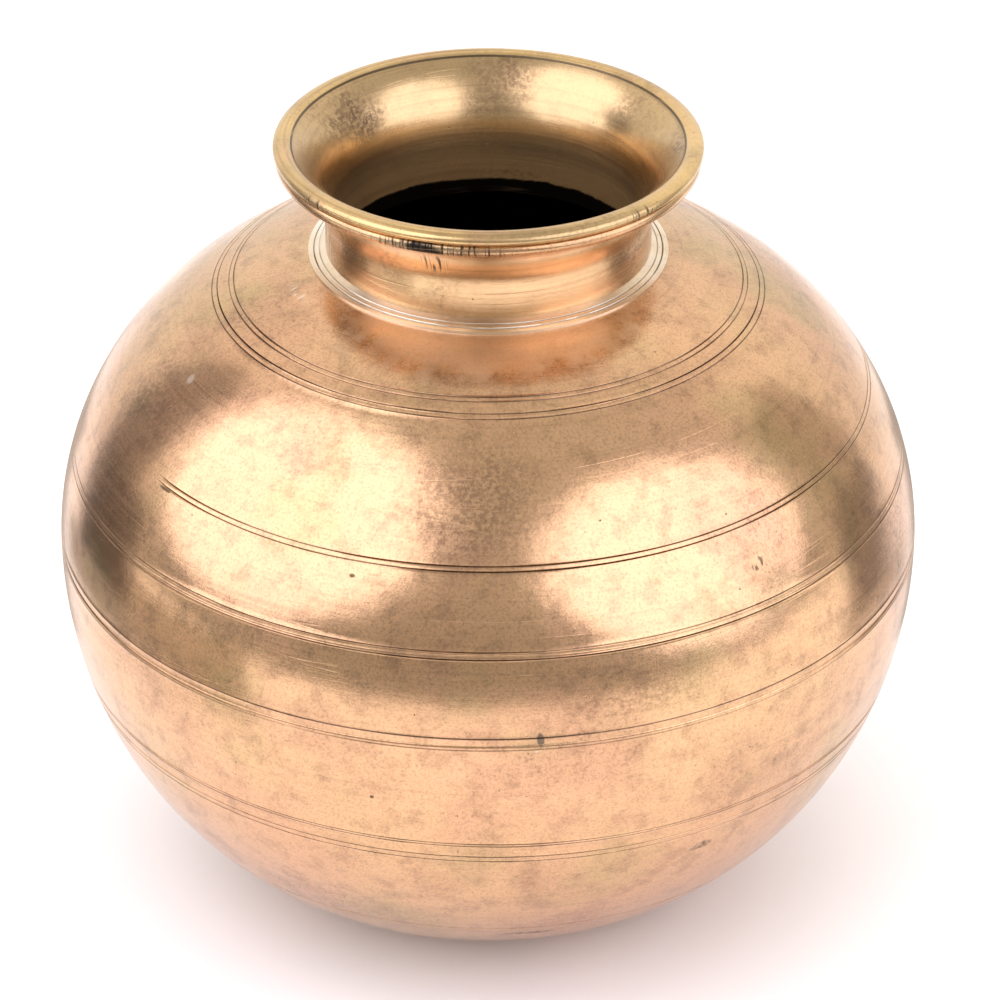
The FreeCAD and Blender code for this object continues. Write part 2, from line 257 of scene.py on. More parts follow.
class Outline:
    """Points of a turned outline: radius, height, how deep they are cut and what they are."""

    def __init__(self, sizes):
        self.s = sizes
        self.points = []
        self.lean = 0.0
        self.inside = 0.0
        self.run_out = None

    def add(self, radius, height, cut=0.0, scored=0.0):
        runs_out = 1.0 if self.run_out and self.run_out[0] < height < self.run_out[1] else 0.0
        self.points.append((radius, height, cut, scored, self.lean, self.inside, runs_out))

    def line(self, start, end, step):
        """Straight run, without its last point."""
        count = max(1, round(math.dist(start, end) / step))
        for i in range(count):
            k = i / count
            self.add(start[0] + (end[0] - start[0]) * k, start[1] + (end[1] - start[1]) * k)

    def arc(self, start, end, radius, bulge, step):
        """Arc that bulges to the right (+1) or the left (-1) of its run, without its last point."""
        mid = Vector(((start[0] + end[0]) / 2, (start[1] + end[1]) / 2))
        along = Vector((end[0] - start[0], end[1] - start[1]))
        half = along.length / 2
        side = Vector((along.y, -along.x)).normalized() * bulge
        centre = mid - side * math.sqrt(radius * radius - half * half)
        first = math.atan2(start[1] - centre.y, start[0] - centre.x)
        turn = 2 * math.asin(half / radius) * bulge
        count = max(2, round(abs(turn) * radius / step))
        for i in range(count):
            a = first + turn * i / count
            self.add(centre.x + radius * math.cos(a), centre.y + radius * math.sin(a))

    def oval(self, oval, first, last, step, cuts=()):
        """Stretch of an oval from one angle to another, with scored lines, without its last point."""
        total = abs(last - first)
        way = 1 if last > first else -1
        half = self.s.score_width / 2
        marks = []
        for angle, strength in cuts:
            for offset, depth, dark in SCORE_SHAPE:
                place = angle + way * offset * half / oval.speed(angle)
                marks.append((place, depth * strength, dark * strength))
        count = round(total * oval.speed((first + last) / 2) / step)
        plain = [first + way * total * i / count for i in range(count)]
        clear = CLEAR_OF_LINE * half
        for angle in plain:
            if all(abs(angle - a) * oval.speed(a) > clear for a, strength in cuts):
                marks.append((angle, 0.0, 0.0))
        for angle, depth, dark in sorted(marks, key=lambda m: m[0] * way):
            self.add(*oval.point(angle), -depth * self.s.score_depth, dark)


# across a scored line: place in half widths, depth, darkness; the tool throws up a small burr
SCORE_SHAPE = [(-1.35, 0.0, 0.0), (-0.95, -0.12, 0.0), (-0.45, 0.55, 0.9), (0.0, 1.0, 1.0),
               (0.45, 0.55, 0.9), (0.95, -0.12, 0.0), (1.35, 0.0, 0.0)]


def outline_mesh(name, outline, closed):
    """A wire of the outline with what the lathe needs to know at each point."""
    points = outline.points
    count = len(points)
    mesh = bpy.data.meshes.new(name)
    edges = [(i, i + 1) for i in range(count - 1)] + ([(count - 1, 0)] if closed else [])
    mesh.from_pydata([(p[0], 0.0, p[1]) for p in points], edges, [])
    keys = ("ring_radius", "ring_height", "along_r", "along_z", "cut", "scored", "path", "lean",
            "inside", "runs_out")
    columns = {k: [] for k in keys}
    run = 0.0
    for i, (radius, height, cut, dark, lean, inside, runs_out) in enumerate(points):
        before = points[i - 1] if i or closed else points[i]
        after = points[(i + 1) % count] if i + 1 < count or closed else points[i]
        along = Vector((after[0] - before[0], after[1] - before[1])).normalized()
        if i:
            run += math.dist(points[i - 1][:2], points[i][:2])
        # the lean dies out towards the seam and towards the base
        drop = min(max((outline.s.waist_height - height) / mm(20), 0.0), 1.0)
        low = min(max((height - mm(5)) / mm(12), 0.0), 1.0)
        weight = drop * drop * (3 - 2 * drop) * low * lean
        row = (radius, height, along.x, along.y, cut, dark, run, weight, inside, runs_out)
        for key, item in zip(keys, row):
            columns[key].append(item)
    for key, items in columns.items():
        layer = mesh.attributes.new(key, "FLOAT", "POINT")
        layer.data.foreach_set("value", items)
    return mesh


# ---------------------------------------------------------------- the lathe


def put(tree, kind, settings=None, sockets=None):
    """Add a node with its settings, and link or set its inputs by name or number."""
    made = tree.nodes.new(kind)
    for key, item in (settings or {}).items():
        setattr(made, key, item)
    for key, item in (sockets or {}).items():
        socket = made.inputs[key]
        if isinstance(item, bpy.types.NodeSocket):
            tree.links.new(item, socket)
        else:
            socket.default_value = item
    return made


def sums(tree, operation, *items):
    """One arithmetic step on numbers or sockets."""
    return put(tree, "ShaderNodeMath", {"operation": operation}, dict(enumerate(items))).outputs[0]


def times(tree, first, second):
    """Two numbers or sockets multiplied."""
    return sums(tree, "MULTIPLY", first, second)


LATHE_INPUTS = [
    ("Facets", "NodeSocketInt", 448),
    ("Unevenness", "NodeSocketFloat", 0.0002),
    ("Lean to the side", "NodeSocketFloat", 0.0),
    ("Lean to the front", "NodeSocketFloat", 0.0),
    ("Run-out", "NodeSocketFloat", 0.0),
    ("Metal", "NodeSocketMaterial", None),
]


def lathe_tree():
    """Turns an outline about the upright axis, cuts its scored lines unevenly and leans them."""
    tree = bpy.data.node_groups.new("Lathe", "GeometryNodeTree")
    face = tree.interface
    face.new_socket("Outline", in_out="INPUT", socket_type="NodeSocketGeometry")
    for name, kind, default in LATHE_INPUTS:
        socket = face.new_socket(name, in_out="INPUT", socket_type=kind)
        if default is not None:
            socket.default_value = default
    face.new_socket("Turned", in_out="OUTPUT", socket_type="NodeSocketGeometry")
    given = put(tree, "NodeGroupInput").outputs

    def stored(name):
        return put(tree, "GeometryNodeInputNamedAttribute", {"data_type": "FLOAT"},
                   {"Name": name}).outputs[0]

    wire = put(tree, "GeometryNodeMeshToCurve", None, {"Mesh": given["Outline"]})
    rail = put(tree, "GeometryNodeCurvePrimitiveCircle", None,
               {"Resolution": given["Facets"], "Radius": 1.0})
    factor = put(tree, "GeometryNodeSplineParameter").outputs["Factor"]
    turn = times(tree, factor, 2 * math.pi)
    marked = put(tree, "GeometryNodeStoreNamedAttribute", {"data_type": "FLOAT", "domain": "POINT"},
                 {"Geometry": rail.outputs["Curve"], "Name": "turn", "Value": turn})
    swept = put(tree, "GeometryNodeCurveToMesh", None,
                {"Curve": marked.outputs[0], "Profile Curve": wire.outputs[0], "Fill Caps": False})
    cosine = sums(tree, "COSINE", stored("turn"))
    sine = sums(tree, "SINE", stored("turn"))
    radius = stored("ring_radius")
    height = stored("ring_height")
    along_r = stored("along_r")
    along_z = stored("along_z")

    # hand turning: the cutter bites more or less deeply on its way round
    winding = put(tree, "ShaderNodeCombineXYZ", None,
               {"X": times(tree, cosine, 1.7), "Y": times(tree, sine, 1.7),
                "Z": times(tree, height, 260.0)})
    bite = put(tree, "ShaderNodeTexNoise", {"noise_dimensions": "3D"},
               {"Vector": winding.outputs[0], "Scale": 1.6, "Detail": 2.0})
    depth = put(tree, "ShaderNodeMapRange", None,
                {"Value": bite.outputs[0], "From Min": 0.32, "From Max": 0.62, "To Min": 0.35,
                 "To Max": 1.0})
    # the upper pair on the shoulder starts at a nick and was never carried right round
    opening = sums(tree, "ABSOLUTE", sums(tree, "SUBTRACT", stored("turn"), given["Run-out"]))
    gap = put(tree, "ShaderNodeMapRange", {"interpolation_type": "SMOOTHSTEP"},
              {"Value": opening, "From Min": FADE[0], "From Max": FADE[1], "To Min": 1.0, "To Max": 0.0})
    carried = sums(tree, "SUBTRACT", 1.0, times(tree, gap.outputs[0], stored("runs_out")))
    bitten = times(tree, depth.outputs[0], carried)
    cut = times(tree, stored("cut"), bitten)
    shown = times(tree, stored("scored"), times(tree, carried, sums(
        tree, "MULTIPLY_ADD", depth.outputs[0], 0.40, 0.60)))
    dyed = put(tree, "GeometryNodeStoreNamedAttribute", {"data_type": "FLOAT", "domain": "POINT"},
               {"Geometry": swept.outputs[0], "Name": "scored", "Value": shown})

    # the bowl's lines were scored with the work a little out of true
    side = times(tree, times(tree, cosine, given["Lean to the side"]), radius)
    front = times(tree, times(tree, sine, given["Lean to the front"]), radius)
    slide = times(tree, sums(tree, "ADD", side, front), stored("lean"))

    place = put(tree, "ShaderNodeCombineXYZ", None,
                {"X": times(tree, cosine, radius), "Y": times(tree, sine, radius),
                 "Z": height})
    hollow = put(tree, "ShaderNodeTexNoise", {"noise_dimensions": "3D"},
                 {"Vector": place.outputs[0], "Scale": 13.0, "Detail": 2.5, "Roughness": 0.45})
    # the unevenness dies out towards the axis
    near_axis = sums(tree, "MINIMUM", sums(tree, "DIVIDE", radius, 0.03), 1.0)
    inward = times(tree, times(tree, hollow.outputs[0], given["Unevenness"]), near_axis)

    # the outward side of the run is (along_z, -along_r)
    new_radius = sums(tree, "ADD", radius, times(tree, cut, along_z))
    new_radius = sums(tree, "ADD", new_radius, times(tree, slide, along_r))
    new_radius = sums(tree, "SUBTRACT", new_radius, inward)
    new_height = sums(tree, "SUBTRACT", height, times(tree, cut, along_r))
    new_height = sums(tree, "ADD", new_height, times(tree, slide, along_z))
    target = put(tree, "ShaderNodeCombineXYZ", None,
                 {"X": times(tree, cosine, new_radius),
                  "Y": times(tree, sine, new_radius), "Z": new_height})
    moved = put(tree, "GeometryNodeSetPosition", None,
                {"Geometry": dyed.outputs[0], "Position": target.outputs[0]})
    closed = put(tree, "GeometryNodeMergeByDistance", None,
                 {"Geometry": moved.outputs[0], "Distance": WELD})
    smooth = put(tree, "GeometryNodeSetShadeSmooth", {"domain": "FACE"}, {"Geometry": closed.outputs[0]})
    bend = put(tree, "GeometryNodeInputMeshEdgeAngle").outputs["Unsigned Angle"]
    crisp = put(tree, "FunctionNodeCompare", {"data_type": "FLOAT", "operation": "GREATER_THAN"},
                {0: bend, 1: CRISP})
    edged = put(tree, "GeometryNodeStoreNamedAttribute", {"data_type": "BOOLEAN", "domain": "EDGE"},
                {"Geometry": smooth.outputs[0], "Name": "sharp_edge", "Value": crisp.outputs[0]})
    real = put(tree, "GeometryNodeRealizeInstances", None, {"Geometry": edged.outputs[0]})
    metal = put(tree, "GeometryNodeSetMaterial", None,
                {"Geometry": real.outputs[0], "Material": given["Metal"]})
    put(tree, "NodeGroupOutput", None, {"Turned": metal.outputs[0]})
    return tree


def signed_volume(mesh):
    """Volume that the faces enclose, negative where they point inwards."""
    mesh.calc_loop_triangles()
    total = 0.0
    for t in mesh.loop_triangles:
        a, b, c = (mesh.vertices[i].co for i in t.vertices)
        total += a.dot(b.cross(c))
    return total / 6.0


def turn_piece(node, drawn, metal, name):
    """Turn an outline into a finished piece that stands for a CAD node."""
    s = bpy.context.scene.lota_sizes
    outline, closed = drawn
    wire = bpy.data.objects.new(name + "_wire", outline_mesh(name + "_wire", outline, closed))
    bpy.context.scene.collection.objects.link(wire)
    tree = bpy.data.node_groups.get("Lathe") or lathe_tree()
    lathe = wire.modifiers.new("Lathe", "NODES")
    lathe.node_group = tree
    values = {"Facets": s.facets, "Unevenness": s.unevenness, "Lean to the side": s.lean_side,
              "Lean to the front": s.lean_front, "Run-out": s.run_out, "Metal": metal}
    for item in tree.interface.items_tree:
        if item.item_type == "SOCKET" and item.in_out == "INPUT" and item.name in values:
            lathe[item.identifier] = values[item.name]
    wire.update_tag()
    seen = wire.evaluated_get(bpy.context.evaluated_depsgraph_get())
    mesh = bpy.data.meshes.new_from_object(seen)
    mesh.name = name
    bpy.data.objects.remove(wire)
    if signed_volume(mesh) < 0:
        mesh.flip_normals()
    if not mesh.polygons:
        raise RuntimeError(name + " came out empty")
    piece = bpy.data.objects.new(name, mesh)
    bpy.context.scene.collection.objects.link(piece)
    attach(piece, "root")
    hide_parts(node)
    # the drawn piece and the CAD piece that it stands for fill the same space
    for corner, pick in zip(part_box(node), (min, max)):
        for axis in range(3):
            reach = pick(v.co[axis] for v in mesh.vertices)
            if abs(reach - corner[axis]) > s.tolerance:
                raise RuntimeError(f"{name} reaches {reach:.5f} m and {node} {corner[axis]:.5f} m")
    return piece


# ---------------------------------------------------------------- outlines of the pieces


def heights(s):
    """Heights that the pieces share."""
    seam = s.waist_height + s.seam_rise
    return {
        "seam": seam,
        "seam_top": seam + s.braze_gap,
        "lap_foot": seam - s.lap_height,
        "lap_base": seam - s.lap_height - s.braze_gap,
        "top": s.waist_height + s.shoulder_rise,
    }


def lap(s):
    """Radii of the lap joint: inside and outside of the brazing metal, and the bore."""
    middle = s.body_radius - s.wall / 2
    return middle - s.braze_gap / 2, middle + s.braze_gap / 2, s.body_radius - s.wall


def lower_outline(s):
    """The bowl, from the middle of its dish, round its outside and back inside to the middle."""
    z = heights(s)
    lap_out = lap(s)[1]
    belly = belly_oval(s)
    inner = belly.inside(s.wall)
    floor = s.dish_depth + s.wall
    edge = s.dish_radius - s.dish_depth
    o = Outline(s)
    o.line((0.0, s.dish_depth), (edge - mm(0.6), s.dish_depth), mm(6))
    o.line((edge - mm(0.6), s.dish_depth), (edge, s.dish_depth), mm(0.3))
    o.line((edge, s.dish_depth), (s.dish_radius, 0.0), mm(0.5))
    o.line((s.dish_radius, 0.0), (s.foot_radius - mm(0.6), 0.0), mm(2))
    first = -math.acos((s.foot_radius - belly.centre_r) / belly.across)
    cuts = [(belly.at_height(s.waist_height - mm(d)), k) for d, k in LOWER_LINES]
    o.lean = 1.0
    o.oval(belly, first, 0.0, mm(1.3), cuts)
    o.lean = 0.0
    seam_lines = [(s.waist_height + mm(d), k) for d, k in RIM_LINES]
    for height, strength in seam_lines:
        for offset, depth, dark in SCORE_SHAPE:
            o.add(s.body_radius, height + offset * s.score_width / 2,
                  -depth * strength * s.score_depth, dark * strength)
    o.line((s.body_radius, z["seam"] - mm(0.12)), (s.body_radius - mm(0.1), z["seam"]), mm(0.1))
    o.line((s.body_radius - mm(0.1), z["seam"]), (lap_out, z["seam"]), mm(0.5))
    o.line((lap_out, z["seam"]), (lap_out, z["lap_base"]), mm(3))
    start = inner.at_height(z["lap_base"])
    o.line((lap_out, z["lap_base"]), inner.point(start), mm(1))
    o.inside = 1.0
    o.oval(inner, start, inner.at_height(floor), mm(5))
    rim = inner.point(inner.at_height(floor))[0]
    o.line((rim, floor), (0.0, floor), mm(8))
    o.add(0.0, floor)
    return o, False


def upper_outline(s):
    """The shoulder, from the seam up to the hole for the neck and back down inside."""
    z = heights(s)
    lap_in, _, bore = lap(s)
    outer = shoulder_oval(s)
    inner = outer.inside(s.wall)
    hole = s.neck_radius + s.solder_gap
    cuts = [(outer.at_radius(s.neck_foot_radius + mm(d)), k) for d, k in SHOULDER_LINES]
    cuts += [(outer.at_height(s.waist_height + mm(d)), k) for d, k in UPPER_LINES]
    o = Outline(s)
    o.run_out = [s.waist_height + mm(d) for d in STOPPED_LINES]
    o.oval(outer, outer.at_height(z["seam_top"]), outer.at_radius(hole), mm(1.3), cuts)
    o.line(outer.point(outer.at_radius(hole)), inner.point(inner.at_radius(hole)), mm(1))
    o.inside = 1.0
    o.oval(inner, inner.at_radius(hole), 0.0, mm(5))
    o.line((bore, s.waist_height), (bore, z["lap_foot"]), mm(3))
    o.line((bore, z["lap_foot"]), (lap_in, z["lap_foot"]), mm(0.5))
    o.line((lap_in, z["lap_foot"]), (lap_in, z["seam_top"]), mm(3))
    edge = outer.point(outer.at_height(z["seam_top"]))
    o.line((lap_in, z["seam_top"]), edge, mm(0.5))
    return o, True


def braze_outline(s):
    """Brazing metal in the lap, filed a hair below the shells."""
    z = heights(s)
    lap_in, lap_out, bore = lap(s)
    skin = s.body_radius - mm(0.13)
    corners = [(skin, z["seam"]), (skin, z["seam_top"]), (lap_in, z["seam_top"]), (lap_in, z["lap_foot"]),
               (bore, z["lap_foot"]), (bore, z["lap_base"]), (lap_out, z["lap_base"]),
               (lap_out, z["seam"])]
    o = Outline(s)
    for i, corner in enumerate(corners):
        o.line(corner, corners[(i + 1) % len(corners)], mm(1.5))
    return o, True


def collar_outline(s):
    """Solder round the neck: a turned slope with two steps, and the filled gap below it."""
    z = heights(s)
    outer = shoulder_oval(s)
    inner = outer.inside(s.wall)
    hole = s.neck_radius + s.solder_gap
    wide = s.neck_foot_radius - s.neck_radius
    rise = s.collar_rise - s.collar_edge
    o = Outline(s)
    foot = outer.point(outer.at_radius(s.neck_foot_radius))
    low = (s.neck_foot_radius, z["top"] + s.collar_edge)
    o.line(foot, low, mm(0.25))
    marks = [(low[0] - mm(d), k) for d, k in COLLAR_LINES]
    spots = [low[0] - wide * i / 12 for i in range(12)]
    half = s.score_width / 2
    samples = [(r, 0.0, 0.0) for r in spots if all(abs(r - m) > CLEAR_OF_LINE * half for m, k in marks)]
    for radius, strength in marks:
        samples += [(radius - f * half, d * strength, dark * strength) for f, d, dark in SCORE_SHAPE]
    for radius, depth, dark in sorted(samples, reverse=True):
        along = (s.neck_foot_radius - radius) / wide
        # a slope that sags in the middle, as solder does
        height = low[1] + rise * along - mm(0.25) * math.sin(math.pi * along)
        o.add(radius, height, -depth * s.score_depth, dark)
    under = inner.point(inner.at_radius(hole))
    o.line((s.neck_radius, z["top"] + s.collar_rise), (s.neck_radius, under[1]), mm(1))
    o.line((s.neck_radius, under[1]), under, mm(1))
    o.line(under, outer.point(outer.at_radius(hole)), mm(1))
    o.oval(outer, outer.at_radius(hole), outer.at_radius(s.neck_foot_radius), mm(1))
    return o, True


def sweep(out, up):
    """Radius of the arc that starts upright and ends that far out and up."""
    return (out * out + up * up) / (2 * out)


def neck_outline(s):
    """The neck: tube, cove, band, seat of the lip, flared mouth and bore."""
    top = heights(s)["top"]
    bore = s.neck_radius - s.neck_wall
    band = top + s.band_rise
    crest = band + s.band_height
    groove = crest + s.groove_drop
    o = Outline(s)
    o.inside = 1.0
    foot = top - s.spigot_depth
    o.line((bore, foot), (s.neck_radius, foot), mm(0.8))
    o.line((s.neck_radius, foot), (s.neck_radius, top), mm(1))
    o.inside = 0.0
    o.line((s.neck_radius, top), (s.neck_radius, top + s.cove_rise), mm(1))
    cove = sweep(s.band_radius - s.neck_radius, s.band_rise - s.cove_rise)
    o.arc((s.neck_radius, top + s.cove_rise), (s.band_radius - mm(0.35), band), cove, -1, mm(0.8))
    o.arc((s.band_radius - mm(0.35), band), (s.band_radius - mm(0.1), crest), mm(1.6), 1, mm(0.3))
    o.line((s.band_radius - mm(0.1), crest), (s.groove_radius, groove), mm(0.25))
    lip_seam = (s.mouth_radius, top + s.lip_seam_rise)
    o.line((s.groove_radius, groove), lip_seam, mm(1))
    o.inside = 1.0
    flare = sweep(s.mouth_radius - bore, s.lip_seam_rise - s.throat_rise)
    o.arc(lip_seam, (bore, top + s.throat_rise), flare, 1, mm(0.8))
    o.line((bore, top + s.throat_rise), (bore, foot), mm(1))
    return o, True


def lip_outline(s):
    """The rounded lip on its slanted seat."""
    top = heights(s)["top"]
    groove = (s.groove_radius, top + s.band_rise + s.band_height + s.groove_drop)
    inner = (s.mouth_radius, top + s.lip_seam_rise)
    crest = (s.lip_top_radius, top + s.lip_top_rise)
    o = Outline(s)
    o.line(inner, groove, mm(0.8))
    o.arc(groove, crest, s.lip_bead, 1, mm(0.25))
    o.arc(crest, inner, s.lip_crown, 1, mm(0.25))
    return o, True


# ---------------------------------------------------------------- metals


def skin_radius(s, height):
    """Outer radius of the body at a height."""
    oval = shoulder_oval(s) if height > s.waist_height else belly_oval(s)
    return oval.point(oval.at_height(height))[0]


def share(tree, value, low, high, bottom=0.0, top=1.0):
    """Where a value stands between two limits, with soft ends."""
    return put(tree, "ShaderNodeMapRange", {"interpolation_type": "SMOOTHSTEP"},
               {"Value": value, "From Min": low, "From Max": high,
                "To Min": bottom, "To Max": top}).outputs[0]


def blend(tree, factor, first, second, way="MIX"):
    """One colour over another."""
    return put(tree, "ShaderNodeMix", {"data_type": "RGBA", "blend_type": way},
               {"Factor": factor, 6: first, 7: second}).outputs[2]


def plus(tree, total, part, amount, way="ADD"):
    """A total with an amount of a part added to it or taken away."""
    return sums(tree, way, total, times(tree, part, amount))


def noise(tree, vector, grain, detail=2.0, rough=0.5, dims="3D"):
    """Noise whose features are about grain metres across."""
    return put(tree, "ShaderNodeTexNoise", {"noise_dimensions": dims},
               {"Vector": vector, "Scale": 1.0 / grain, "Detail": detail, "Roughness": rough}).outputs[0]


def spot(tree, where, azimuth, radius, height, wide, tall):
    """Distance from the middle of a mark on the skin, 1 at its edge, and its own coordinates."""
    angle = math.radians(azimuth)
    centre = (mm(radius) * math.sin(angle), -mm(radius) * math.cos(angle), mm(height))
    local = put(tree, "ShaderNodeMapping", {"vector_type": "TEXTURE"},
                {"Vector": where, "Location": centre, "Rotation": (0.0, 0.0, angle),
                 "Scale": (mm(wide) / 2, max(mm(wide) / 2, mm(5)), mm(tall) / 2)}).outputs[0]
    return put(tree, "ShaderNodeVectorMath", {"operation": "LENGTH"}, {0: local}).outputs["Value"], local


def scratches(tree, where, tilt, spacing, stretch, width):
    """Fine straight scratches: thin contour lines of a noise that is stretched one way."""
    turned = put(tree, "ShaderNodeMapping", {"vector_type": "POINT"},
                 {"Vector": where, "Rotation": tilt, "Scale": (stretch, stretch, 1.0)}).outputs[0]
    field = noise(tree, turned, spacing, 0.0)
    off = sums(tree, "ABSOLUTE", sums(tree, "SUBTRACT", field, 0.5))
    return share(tree, off, width, 0.0)


# what a mark does: its colour, how strongly it covers, how much rougher it leaves the metal
STAINS = {
    # dull film in front of the neck, where a rag does not reach: it blurs what is mirrored there; its
    # pale colour is a painted sheen that lightens the shoulder where it mirrors the neck
    "haze_and_painted_sheen": ("haze_and_painted_sheen", 0.60, 0.24),
    "patina": ("patina", 0.72, 0.10),
    "lead": ("lead", 0.75, 0.22),
    "solder": ("solder", 0.85, 0.16),
    "dirt": ("dirt", 0.85, 0.30),
    # small black smudges of soot, and also the black band of painted shade low at the back of the bore
    "soot": ("soot", 0.95, 0.35),
    "bright": ("gold", 0.60, 0.02),
}


def marked(tree, marks, where, speck, colour_now, rough_now):
    """Colour and roughness of a metal with its single stains, smears and nicks laid over it, and its
    painted sheen and painted shade.
    """
    finish = bpy.context.scene.lota_finish
    # the edges of a stain wander, because its middle is moved about by a noise
    wobble = put(tree, "ShaderNodeTexNoise", None,
                 {"Vector": where, "Scale": 1.0 / mm(6), "Detail": 3.0,
                  "Roughness": 0.65}).outputs["Color"]
    for kind, azimuth, radius, height, wide, tall, strength, soft, comb in marks:
        tint, cover, roughen = STAINS[kind]
        bend = put(tree, "ShaderNodeVectorMath", {"operation": "MULTIPLY_ADD"},
                   {0: wobble, 1: (mm(wide / 2), mm(wide / 2), mm(tall / 2)), 2: where}).outputs[0]
        bend = put(tree, "ShaderNodeVectorMath", {"operation": "SUBTRACT"},
                   {0: bend, 1: (mm(wide / 4), mm(wide / 4), mm(tall / 4))}).outputs[0]
        # strokes of a file or a scraper are straight, so they take the unbent coordinates
        away, local = spot(tree, where if comb else bend, azimuth, radius, height, wide, tall)
        mask = share(tree, away, 1.0, 1.0 - soft)
        if comb:
            # strokes side by side, comb millimetres apart
            strokes = put(tree, "ShaderNodeMapping", None,
                          {"Vector": local, "Scale": (wide / comb / 2, 0.0, 0.35)}).outputs[0]
            mask = times(tree, mask, share(tree, noise(tree, strokes, 1.0, 1.0), 0.50, 0.60))
        elif soft > 0.5 and kind != "haze_and_painted_sheen":
            mask = times(tree, mask, share(tree, speck, 0.40, 0.58, 0.25, 1.0))
        mask = times(tree, mask, strength)
        colour_now = blend(tree, times(tree, mask, cover), colour_now,
                           getattr(finish, tint))
        rough_now = plus(tree, rough_now, mask, roughen)
    return colour_now, rough_now


def seam_line(tree, axes, radius, height):
    """A hair line of dirt where the lip sits on the flare."""
    flat = put(tree, "ShaderNodeCombineXYZ", None, {"X": axes[0], "Y": axes[1]}).outputs[0]
    reach = put(tree, "ShaderNodeVectorMath", {"operation": "LENGTH"}, {0: flat}).outputs["Value"]
    beside = sums(tree, "ABSOLUTE", sums(tree, "SUBTRACT", reach, radius))
    # the cove outside passes the same radius, but lower
    near = share(tree, axes[2], height - mm(1.2), height - mm(0.8))
    line = times(tree, share(tree, beside, mm(0.32), mm(0.10)), near)
    return times(tree, line, 0.85)


